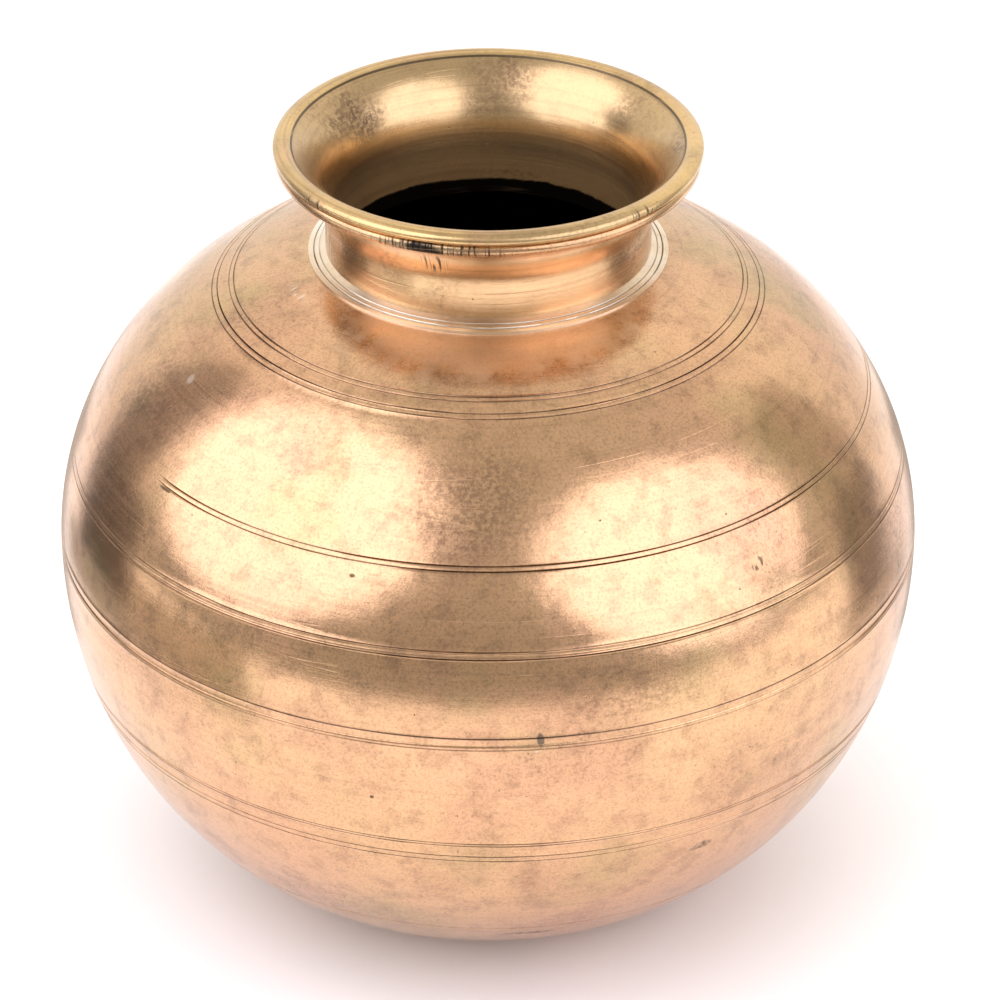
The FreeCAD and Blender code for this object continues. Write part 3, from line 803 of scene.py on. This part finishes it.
def worn_metal(name, look, marks=()):
    """Metal turned on a lathe, polished by hand and left to age."""
    finish = bpy.context.scene.lota_finish
    material = bpy.data.materials.new(name)
    material.use_nodes = True
    tree = material.node_tree
    tree.nodes.clear()
    where = put(tree, "ShaderNodeTexCoord").outputs["Object"]
    path = put(tree, "ShaderNodeAttribute", {"attribute_name": "path"}).outputs["Fac"]
    scored = put(tree, "ShaderNodeAttribute", {"attribute_name": "scored"}).outputs["Fac"]
    inside = put(tree, "ShaderNodeAttribute", {"attribute_name": "inside"}).outputs["Fac"]
    axes = put(tree, "ShaderNodeSeparateXYZ", None, {"Vector": where}).outputs

    def ring(spacing, along):
        """Coordinates for marks that run round the pot: across in spacings, long round it."""
        return put(tree, "ShaderNodeCombineXYZ", None,
                   {"X": sums(tree, "DIVIDE", axes[0], along), "Y": sums(tree, "DIVIDE", axes[1], along),
                    "Z": sums(tree, "DIVIDE", path, spacing)}).outputs[0]

    # polished brass is never one colour: casting and rubbing leave it golden, pink or greenish
    tone = noise(tree, where, mm(55), 3.0, 0.55)
    colour_now = blend(tree, share(tree, tone, 0.40, 0.66), look["main"], look["second"])
    elsewhere = put(tree, "ShaderNodeMapping", None,
                    {"Vector": where, "Location": (0.31, 0.17, 0.43)}).outputs[0]
    other = noise(tree, elsewhere, mm(38), 3.0, 0.6)
    colour_now = blend(tree, share(tree, other, 0.50, 0.72, 0.0, 0.8), colour_now, look["third"])
    bands = noise(tree, ring(mm(5), mm(160)), 1.0, 3.0, 0.6)
    colour_now = blend(tree, share(tree, bands, 0.45, 0.75, 0.0, 0.35), colour_now, look["second"])

    # turning lines: the real ones are finer than the eye can part, so only the coarse ones show
    fine = noise(tree, ring(mm(0.42), mm(60)), 1.0, 2.0, 0.6)
    coarse = noise(tree, ring(mm(1.6), mm(90)), 1.0, 2.0, 0.6)

    # clouds of brown speckle left where the polish was worn through or never reached
    cloud = noise(tree, where, mm(28), 4.0, 0.62)
    speck = noise(tree, where, mm(1.1), 3.0, 0.7)
    amount = share(tree, cloud, look["cloud_from"], look["cloud_from"] + 0.26)
    grain = times(tree, share(tree, speck, 0.44, 0.66), amount)
    smoke = times(tree, amount, look["smoke"])
    tarnish = sums(tree, "MAXIMUM", times(tree, grain, look["speckle"]), smoke)

    # rubbing with ash and tamarind leaves the skin mottled, grain by grain
    mottle = noise(tree, where, mm(0.6), 3.0, 0.75)
    blotch = noise(tree, where, mm(6), 4.0, 0.65)
    dull = plus(tree, times(tree, share(tree, mottle, 0.47, 0.64), look["mottle"]),
                share(tree, blotch, 0.46, 0.70), look["mottle"])

    # pinholes of the casting, up to a third of a millimetre across, wider in the brazing
    holes = put(tree, "ShaderNodeTexVoronoi", None, {"Vector": where, "Scale": 1.0 / mm(3.1)}).outputs
    chosen = put(tree, "ShaderNodeSeparateXYZ", None, {"Vector": holes["Color"]}).outputs[0]
    size = share(tree, chosen, 0.55, 1.0, 0.0, look["pit"])
    pits = share(tree, sums(tree, "SUBTRACT", holes["Distance"], size), 0.03, -0.03)

    hair = sums(tree, "MAXIMUM", scratches(tree, where, (0.5, 0.3, 0.2), mm(5), 0.025, 0.006),
                scratches(tree, where, (1.3, -0.7, 1.1), mm(6), 0.025, 0.005))
    hair = times(tree, hair, share(tree, noise(tree, where, mm(17), 2.0), 0.45, 0.6))

    if "flare" in look:
        colour_now = blend(tree, times(tree, inside, 0.85), colour_now, look["flare"])
    grooves = times(tree, share(tree, coarse, 0.50, 0.80), look["lines"])
    for brown in (dull, tarnish, grooves):
        colour_now = blend(tree, brown, colour_now, finish.patina)
    rough_now = share(tree, tone, 0.3, 0.7, look["rough"], look["rough"] + 0.07)
    rough_now = plus(tree, rough_now, tarnish, 0.16)
    rough_now = plus(tree, rough_now, share(tree, fine, 0.35, 0.75), 0.05)

    colour_now, rough_now = marked(tree, marks, where, speck, colour_now, rough_now)

    # old dirt in what was cut; the insides turn towards throat brown, in the neck more and more further
    # down its bore
    deep = sums(tree, "MAXIMUM", times(tree, scored, share(tree, coarse, 0.2, 0.6, 0.75, 1.0)),
                times(tree, pits, 0.85))
    colour_now = blend(tree, deep, colour_now, finish.dirt)
    if "seam" in look:
        hairline = seam_line(tree, axes, *look["seam"])
        colour_now = blend(tree, hairline, colour_now, finish.dirt)
    within = times(tree, inside, share(tree, axes[2], look["inside_top"], look["inside_dark"]))
    colour_now = blend(tree, times(tree, within, 0.55), colour_now, finish.throat)
    # painted shade: inside the pot, below a given height, the metal is painted black, as no light reaches
    # in there
    black = plus(tree, axes[2], blotch, mm(1.6))
    black = share(tree, black, look["soot_top"], look["soot_top"] - mm(0.8))
    black = times(tree, inside, black)
    colour_now = blend(tree, black, colour_now, finish.soot)
    for part, roughen in ((black, 0.4), (deep, 0.30), (within, 0.42)):
        rough_now = plus(tree, rough_now, part, roughen)
    outside = sums(tree, "SUBTRACT", 0.5, times(tree, inside, 0.4))
    colour_now = blend(tree, times(tree, hair, outside), colour_now, look["scratch"])

    # what stands up and what is sunk, in millimetres
    relief = times(tree, fine, look["fine"])
    for part, height, way in ((coarse, look["coarse"], "ADD"), (mottle, look["grain"], "ADD"),
                              (pits, 0.10, "SUBTRACT"), (hair, 0.010, "SUBTRACT"),
                              (grain, 0.012, "SUBTRACT"),
                              (noise(tree, where, mm(9), 2.0), look["dents"], "ADD")):
        relief = plus(tree, relief, part, height, way)
    bump = put(tree, "ShaderNodeBump", None, {"Height": relief, "Distance": mm(1), "Strength": 1.0})
    shader = put(tree, "ShaderNodeBsdfPrincipled", None,
                 {"Base Color": colour_now, "Metallic": 1.0, "Roughness": rough_now,
                  "Normal": bump.outputs[0], "Coat Weight": look["film"], "Coat Roughness": 0.28})
    put(tree, "ShaderNodeOutputMaterial", None, {"Surface": shader.outputs[0]})
    return material


def on_skin(s, marks):
    """Marks on the body, with the radius that the body has at their height."""
    return [(kind, azimuth, skin_radius(s, mm(height)) * 1000.0, height, *rest)
            for kind, azimuth, height, *rest in marks]


# kind, azimuth from the front, height, width, height of the mark, strength, softness, comb
UPPER_MARKS = [
    # painted sheen: a pale, dull patch that lightens the shoulder in front of the neck
    ("haze_and_painted_sheen", 0.0, 160.5, 88.0, 13.0, 0.85, 0.6, 0),
    ("patina", -2.0, 139.0, 44.0, 50.0, 0.9, 0.9, 0),
    ("patina", -66.0, 138.0, 50.0, 34.0, 0.8, 0.9, 0),
    ("patina", 20.0, 100.0, 60.0, 14.0, 0.5, 0.9, 0),
    ("solder", -64.5, 143.9, 3.0, 2.6, 0.45, 0.6, 0),
    ("dirt", -54.0, 127.1, 4.5, 0.8, 0.9, 0.4, 0),
    ("dirt", -19.0, 124.8, 1.5, 0.9, 0.9, 0.4, 0),
    ("dirt", 39.7, 119.8, 5.0, 3.2, 0.8, 0.3, 1.0),
    ("bright", 9.3, 146.5, 2.6, 0.9, 0.9, 0.4, 0),
    ("solder", -66.0, 158.9, 14.0, 1.0, 0.5, 0.8, 1.1),
    ("lead", 6.8, 91.4, 2.0, 4.6, 1.0, 0.4, 0),
    ("patina", 150.0, 135.0, 50.0, 40.0, 0.7, 0.9, 0),
    ("dirt", 120.0, 118.0, 3.0, 1.0, 0.8, 0.4, 0),
    ("patina", -140.0, 115.0, 46.0, 30.0, 0.6, 0.9, 0),
]
LOWER_MARKS = [
    ("dirt", -14.8, 74.4, 1.2, 1.2, 0.9, 0.4, 0),
    ("soot", 31.6, 50.3, 7.0, 3.4, 0.75, 0.6, 0),
    ("lead", 7.6, 22.4, 15.0, 2.6, 1.0, 0.6, 0),
    ("lead", 6.8, 91.4, 2.0, 4.6, 1.0, 0.4, 0),
    ("solder", 6.4, 88.6, 2.2, 1.0, 0.3, 0.6, 0),
    ("patina", -20.0, 30.0, 60.0, 24.0, 0.5, 0.9, 0),
    ("patina", 165.0, 45.0, 50.0, 34.0, 0.7, 0.9, 0),
    ("lead", -150.0, 30.0, 10.0, 4.0, 0.6, 0.8, 0),
]
NECK_MARKS = [
    ("lead", -16.0, 48.1, 184.3, 34.0, 3.6, 1.0, 0.7, 0),
    ("soot", -16.5, 48.1, 184.1, 10.0, 4.6, 1.0, 0.5, 0),
    ("soot", -13.0, 47.7, 184.1, 36.0, 6.5, 0.9, 0.4, 0.6),
    ("dirt", -17.9, 38.2, 176.1, 8.0, 8.0, 1.0, 0.7, 0.8),
    ("solder", -80.0, 37.6, 166.0, 18.0, 10.0, 0.9, 0.6, 1.2),
    ("dirt", -127.8, 42.0, 180.5, 26.0, 14.0, 1.0, 0.9, 0),
    ("patina", -122.0, 43.0, 183.0, 34.0, 14.0, 0.8, 0.9, 0),
    ("patina", 180.0, 40.0, 180.0, 26.0, 30.0, 0.7, 0.9, 0),
    ("patina", 89.3, 43.5, 186.0, 22.0, 12.0, 0.9, 0.9, 0),
    ("patina", 128.0, 42.0, 182.0, 16.0, 16.0, 0.7, 0.8, 0),
    # painted shade: a black band low at the back of the bore, where the inside goes dark
    ("soot", 168.3, 35.2, 162.6, 26.0, 3.0, 0.8, 0.9, 0),
    ("dirt", -136.0, 45.0, 183.0, 8.0, 5.0, 1.0, 0.6, 0),
    ("dirt", -118.0, 46.0, 185.0, 5.0, 3.0, 1.0, 0.6, 0),
    ("dirt", 108.0, 45.0, 184.0, 9.0, 2.5, 1.0, 0.7, 0),
    ("patina", 172.0, 44.0, 184.0, 20.0, 14.0, 0.9, 0.9, 0),
    ("patina", 60.0, 38.0, 172.0, 26.0, 12.0, 0.6, 0.9, 0),
    ("patina", -35.0, 38.0, 172.0, 14.0, 16.0, 0.7, 0.9, 0),
]
LIP_MARKS = [
    ("soot", -16.0, 48.6, 185.4, 11.0, 3.2, 0.9, 0.5, 0),
    ("dirt", -52.0, 48.4, 186.8, 14.0, 4.0, 1.0, 0.7, 0.8),
    ("dirt", 45.0, 48.4, 187.0, 14.0, 4.0, 1.0, 0.7, 0.7),
    ("lead", -15.0, 48.6, 186.0, 24.0, 1.6, 0.8, 0.6, 0),
    ("patina", 130.0, 47.0, 187.5, 24.0, 5.0, 0.7, 0.8, 0),
]


def seam_of_lip():
    """Radius and height of the seam between the lip and the flare."""
    s = bpy.context.scene.lota_sizes
    return s.mouth_radius, heights(s)["top"] + s.lip_seam_rise


def body_look():
    """Brass of the body, cast, turned and hand-polished: golden to pink, brown speckle in clouds."""
    f = bpy.context.scene.lota_finish
    return dict(main=f.gold, second=f.copper, third=f.olive, scratch=f.gold, cloud_from=0.46,
                smoke=0.20, speckle=0.52, mottle=0.28, pit=0.055, lines=0.16, rough=0.15, film=0.3,
                fine=0.005, coarse=0.005, grain=0.014, dents=0.10,
                inside_top=mm(300), inside_dark=mm(240), soot_top=mm(400))


def neck_look():
    """Brass of the neck, turned but little polished: browner, with the tool's lines left on it."""
    f = bpy.context.scene.lota_finish
    look = body_look()
    look.update(main=f.neck_gold, second=f.neck_brown, third=f.gold, cloud_from=0.44, smoke=0.16,
                speckle=0.55, pit=0.055, lines=0.34, rough=0.15, fine=0.007, coarse=0.010, mottle=0.12,
                flare=f.flare_gold, seam=seam_of_lip(),
                inside_top=mm(180), inside_dark=mm(163), soot_top=mm(162.4))
    return look


def lip_look():
    """Brass of the lip, worn bright by hands, with brown left in its scratches."""
    f = bpy.context.scene.lota_finish
    look = body_look()
    look.update(main=f.lip_gold, second=f.olive, third=f.gold, cloud_from=0.46, smoke=0.14, speckle=0.5,
                pit=0.06, lines=0.7, rough=0.20, fine=0.007, coarse=0.012, mottle=0.16,
                seam=seam_of_lip())
    return look


def braze_look():
    """Brazing brass, filed flush: a little pinker and duller than the shells, pitted."""
    f = bpy.context.scene.lota_finish
    look = body_look()
    look.update(main=f.copper, second=f.neck_gold, third=f.patina, cloud_from=0.38, pit=0.2,
                lines=0.4, rough=0.32)
    return look


def solder_look():
    """Tin-lead solder, turned with the neck: pale grey with a warm film and brown in its steps."""
    f = bpy.context.scene.lota_finish
    look = body_look()
    look.update(main=f.solder, second=f.solder_warm, third=f.solder_warm, scratch=f.solder,
                cloud_from=0.52, smoke=0.1, speckle=0.5, pit=0.06, lines=0.3, rough=0.27, mottle=0.06)
    return look


# ---------------------------------------------------------------- operators


class LOTA_OT_bowl(bpy.types.Operator):
    """Turn the lower shell with its foot, dish and scored lines"""

    bl_idname = "lota.bowl"
    bl_label = "Bowl"

    def execute(self, context):
        s = context.scene.lota_sizes
        metal = worn_metal("Cast brass, turned and hand-polished, bowl", body_look(),
                           on_skin(s, LOWER_MARKS))
        turn_piece("lower_shell", lower_outline(s), metal, "bowl")
        return {"FINISHED"}


class LOTA_OT_shoulder(bpy.types.Operator):
    """Turn the upper shell with its scored lines"""

    bl_idname = "lota.shoulder"
    bl_label = "Shoulder"

    def execute(self, context):
        s = context.scene.lota_sizes
        metal = worn_metal("Cast brass, turned and hand-polished, shoulder", body_look(),
                           on_skin(s, UPPER_MARKS))
        turn_piece("upper_shell", upper_outline(s), metal, "shoulder")
        return {"FINISHED"}


class LOTA_OT_joints(bpy.types.Operator):
    """Make the brazing in the waist lap and the solder collar round the neck"""

    bl_idname = "lota.joints"
    bl_label = "Brazing and solder"

    def execute(self, context):
        s = context.scene.lota_sizes
        turn_piece("waist_braze", braze_outline(s), worn_metal("Brazing brass, filed", braze_look()),
                   "waist_brazing")
        turn_piece("neck_solder", collar_outline(s), worn_metal("Tin solder, turned", solder_look()),
                   "neck_collar")
        return {"FINISHED"}


class LOTA_OT_neck(bpy.types.Operator):
    """Turn the flared neck"""

    bl_idname = "lota.neck"
    bl_label = "Neck"

    def execute(self, context):
        s = context.scene.lota_sizes
        metal = worn_metal("Cast brass, turned, browned by age", neck_look(), NECK_MARKS)
        turn_piece("flared_neck", neck_outline(s), metal, "neck")
        return {"FINISHED"}


class LOTA_OT_lip(bpy.types.Operator):
    """Turn the rounded lip"""

    bl_idname = "lota.lip"
    bl_label = "Lip"

    def execute(self, context):
        s = context.scene.lota_sizes
        metal = worn_metal("Cast brass, worn bright at the lip", lip_look(), LIP_MARKS)
        turn_piece("lip_ring", lip_outline(s), metal, "lip")
        return {"FINISHED"}


def towards(azimuth, elevation):
    """Direction from the pot: azimuth 0 is the front, 90 the right."""
    a = math.radians(azimuth)
    e = math.radians(elevation)
    return Vector((math.sin(a) * math.cos(e), -math.cos(a) * math.cos(e), math.sin(e)))


def softbox(name, corners, distance, brightness, tint=(1.0, 1.0, 1.0)):
    """An oval soft light that fills the view between four directions from the pot."""
    ways = [towards(*c) for c in corners]
    middle = sum(ways, Vector()).normalized()
    spots = [w * (distance / w.dot(middle)) for w in ways]
    aim = Vector((0.0, 0.0, mm(AIM)))
    centre = sum(spots, Vector()) / 4 + aim
    wide = ((spots[1] - spots[0]) + (spots[2] - spots[3])) / 2
    tall = ((spots[3] - spots[0]) + (spots[2] - spots[1])) / 2
    x = wide.normalized()
    z = (centre - aim).normalized()
    y = z.cross(x).normalized()
    x = y.cross(z)
    light = bpy.data.lights.new(name, "AREA")
    light.shape = "ELLIPSE"
    # an oval that bulges a little past the box of its corners; it is pi/4 of its own box
    light.size = wide.length * BULGE
    light.size_y = tall.length * BULGE
    light.energy = brightness * math.pi * light.size * light.size_y * math.pi / 4
    light.color = tint
    lamp = bpy.data.objects.new(name, light)
    bpy.context.scene.collection.objects.link(lamp)
    lamp.matrix_world = Matrix.Translation(centre) @ Matrix((x, y, z)).transposed().to_4x4()
    return lamp


def disc(name, radius, centre, height, material):
    """A round piece of floor."""
    mesh = bpy.data.meshes.new(name)
    count = 96
    ring = [(centre[0] + radius * math.cos(2 * math.pi * i / count),
             centre[1] + radius * math.sin(2 * math.pi * i / count), height) for i in range(count)]
    mesh.from_pydata(ring, [], [tuple(range(count))])
    mesh.materials.append(material)
    floor = bpy.data.objects.new(name, mesh)
    bpy.context.scene.collection.objects.link(floor)
    floor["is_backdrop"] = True
    return floor


def flag(name, azimuths, heights_mm, distance, brightness):
    """A curved dark card that is seen only in the metal."""
    dark = bpy.data.materials.new(name)
    dark.use_nodes = True
    tree = dark.node_tree
    tree.nodes.clear()
    glow = put(tree, "ShaderNodeEmission", None,
               {"Color": (1.0, 0.93, 0.86, 1.0), "Strength": brightness})
    put(tree, "ShaderNodeOutputMaterial", None, {"Surface": glow.outputs[0]})
    steps = 24
    points = []
    for height in heights_mm:
        for i in range(steps + 1):
            side = towards(azimuths[0] + (azimuths[1] - azimuths[0]) * i / steps, 0.0) * mm(distance)
            points.append((side.x, side.y, mm(height)))
    faces = [(i, i + 1, i + steps + 2, i + steps + 1) for i in range(steps)]
    mesh = bpy.data.meshes.new(name)
    mesh.from_pydata(points, [], faces)
    mesh.materials.append(dark)
    card = bpy.data.objects.new(name, mesh)
    bpy.context.scene.collection.objects.link(card)
    card.visible_camera = False
    card.visible_shadow = False
    card.visible_diffuse = False
    card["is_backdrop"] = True


# light through silk, a little colder than the room
SILK = (0.97, 0.95, 1.12)
# corners of the lights, as the pot sees them: azimuth and elevation in degrees
LEFT_CORNERS = [(-109, 22), (-93, 70), (-10, 22), (-86, 2)]
RIGHT_CORNERS = [(28, 62), (94, 24), (78, -11), (14, 12)]
TOP_CORNERS = [(-135, 50), (135, 50), (45, 50), (-45, 50)]

# name, azimuths, lowest and highest edge and distance from the axis in millimetres, brightness
FLAGS = [
    ("left_flag", (-85, -113), (38, 130), 220, 0.15),
    ("left_high_flag", (-94, -113), (130, 300), 220, 0.36),
    ("left_low_flag", (-50, -85), (36, 78), 220, 0.68),
    ("left_skirt", (-50, -122), (4, 36), 220, 0.54),
    ("right_flag", (86, 106), (28, 125), 220, 0.33),
    ("right_high_flag", (86, 107), (125, 260), 220, 0.60),
    ("right_skirt", (84, 119), (4, 28), 220, 0.74),
    # close behind, so that the outline of the pot stands out from the paper
    ("left_back_card", (-116, -152), (2, 90), 150, 0.58),
    ("right_back_card", (116, 152), (2, 90), 150, 0.48),
]


class LOTA_OT_studio(bpy.types.Operator):
    """Set up the floor, the soft lights, the surroundings and the camera"""

    bl_idname = "lota.studio"
    bl_label = "Studio"

    def execute(self, context):
        scene = context.scene
        k = scene.lota_studio
        scene.view_settings.view_transform = "Standard"
        paper = bpy.data.materials.new("Matt white paper sweep")
        paper.use_nodes = True
        shader = paper.node_tree.nodes["Principled BSDF"]
        shader.inputs["Base Color"].default_value = k.floor
        shader.inputs["Roughness"].default_value = 0.85
        shader.inputs["Specular IOR Level"].default_value = 0.2
        disc("table", 0.85, (0.0, 0.35), -0.0002, paper)
        far = disc("far_floor", 9.0, (0.0, 0.0), -0.0010, paper)
        far.visible_glossy = False
        far.visible_diffuse = False

        softbox("left_softbox", LEFT_CORNERS, 1.1, k.key, SILK)
        softbox("right_softbox", RIGHT_CORNERS, 1.1, k.fill, SILK)
        # lights the paper only, so that it stays white round the pot
        wash = softbox("overhead_wash", TOP_CORNERS, 1.6, k.wash)
        wash.visible_glossy = False
        # dark boards beside the pot, which give the bright metal its edges
        for card in FLAGS:
            flag(*card)

        world = bpy.data.worlds.new("Studio")
        scene.world = world
        world.use_nodes = True
        tree = world.node_tree
        tree.nodes.clear()
        up = put(tree, "ShaderNodeSeparateXYZ", None,
                 {"Vector": put(tree, "ShaderNodeTexCoord").outputs["Generated"]}).outputs
        # dim at eye level, brighter overhead and behind the pot
        level = put(tree, "ShaderNodeMapRange", None,
                    {"Value": up[2], "From Min": -0.1, "From Max": 0.9, "To Min": 0.44, "To Max": 0.72})
        behind = put(tree, "ShaderNodeMapRange", None,
                     {"Value": up[1], "From Min": 0.02, "From Max": 0.50, "To Min": 0.0, "To Max": 0.62})
        glow = sums(tree, "ADD", level.outputs[0], behind.outputs[0])
        seen = put(tree, "ShaderNodeLightPath").outputs["Is Camera Ray"]
        room = put(tree, "ShaderNodeBackground", None,
                   {"Color": (1.0, 0.97, 0.93, 1.0), "Strength": glow})
        white = put(tree, "ShaderNodeBackground", None, {"Color": (1.0, 1.0, 1.0, 1.0), "Strength": 1.0})
        both = put(tree, "ShaderNodeMixShader", None, {0: seen, 1: room.outputs[0], 2: white.outputs[0]})
        put(tree, "ShaderNodeOutputWorld", None, {"Surface": both.outputs[0]})

        camera = bpy.data.cameras.new("Camera")
        camera.sensor_width = 36.0
        camera.lens = k.lens
        camera.clip_start = 0.01
        eye = bpy.data.objects.new("Camera", camera)
        scene.collection.objects.link(eye)
        eye.matrix_world = (
            Matrix.Translation((k.camera_side, -k.camera_front, k.camera_height))
            @ Matrix.Rotation(math.radians(90) - k.looking_down, 4, "X")
            @ Matrix.Rotation(k.roll, 4, "Z"))
        scene.camera = eye
        return {"FINISHED"}


class LOTA_PT_panel(bpy.types.Panel):
    """The pot's pieces, one button each"""

    bl_idname = "LOTA_PT_panel"
    bl_label = "Lota"
    bl_space_type = "VIEW_3D"
    bl_region_type = "UI"
    bl_category = "Lota"

    def draw(self, context):
        for maker in OPERATORS:
            self.layout.operator(maker.bl_idname)
        for holder in (context.scene.lota_sizes, context.scene.lota_finish, context.scene.lota_studio):
            box = self.layout.box()
            for key in holder.__annotations__:
                box.prop(holder, key)


OPERATORS = (LOTA_OT_bowl, LOTA_OT_shoulder, LOTA_OT_joints, LOTA_OT_neck, LOTA_OT_lip, LOTA_OT_studio)
GROUPS = (("lota_sizes", LotaSizes), ("lota_finish", LotaFinish), ("lota_studio", LotaStudio))


def register():
    for name, group in GROUPS:
        bpy.utils.register_class(group)
        setattr(bpy.types.Scene, name, bpy.props.PointerProperty(type=group))
    for maker in OPERATORS:
        bpy.utils.register_class(maker)
    bpy.utils.register_class(LOTA_PT_panel)


def unregister():
    bpy.utils.unregister_class(LOTA_PT_panel)
    for maker in reversed(OPERATORS):
        bpy.utils.unregister_class(maker)
    for name, group in reversed(GROUPS):
        delattr(bpy.types.Scene, name)
        bpy.utils.unregister_class(group)


def plain(bounds):
    """A box as plain lists of numbers."""
    return [[float(n) for n in corner] for corner in bounds]


def main():
    """Make every piece and the studio, and measure the scene's box before and after building them."""
    sizes = {"cad": plain(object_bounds())}
    register()
    for make in (bpy.ops.lota.bowl, bpy.ops.lota.shoulder, bpy.ops.lota.joints, bpy.ops.lota.neck,
                 bpy.ops.lota.lip, bpy.ops.lota.studio):
        make()
    sizes["visual"] = plain(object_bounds())


if __name__ == "__main__":
    main()
